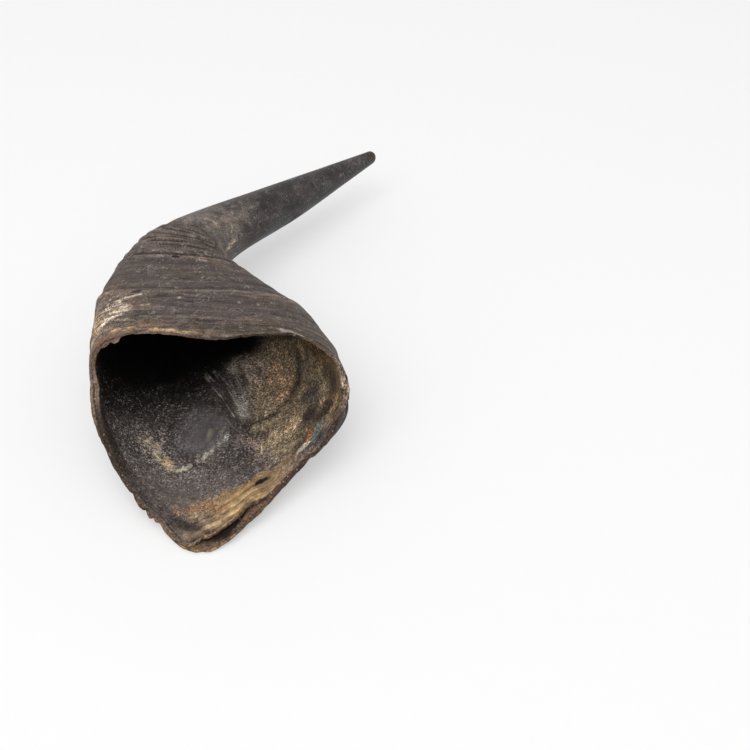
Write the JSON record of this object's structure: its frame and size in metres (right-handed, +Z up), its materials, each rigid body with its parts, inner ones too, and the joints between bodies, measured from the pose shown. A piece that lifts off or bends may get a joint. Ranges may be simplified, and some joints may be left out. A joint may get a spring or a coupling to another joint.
{
  "type": "buffalo horn",
  "caption": "Hollow buffalo horn sheath lying on its belly, with a wide broken mouth, a ribbed bend and a long smooth spike.",
  "frame": {"origin": "centre of the footprint, on the surface the horn rests on", "axes": "+Z up; the open mouth faces -Y, and the spike points to +X +Y, 41 degrees from +Y"},
  "size_m": [0.1749, 0.3644, 0.0903],
  "materials": {
    "horn": "satin"
  },
  "bodies": {
    "root": {"horn": "horn"}
  },
  "joints": []
}
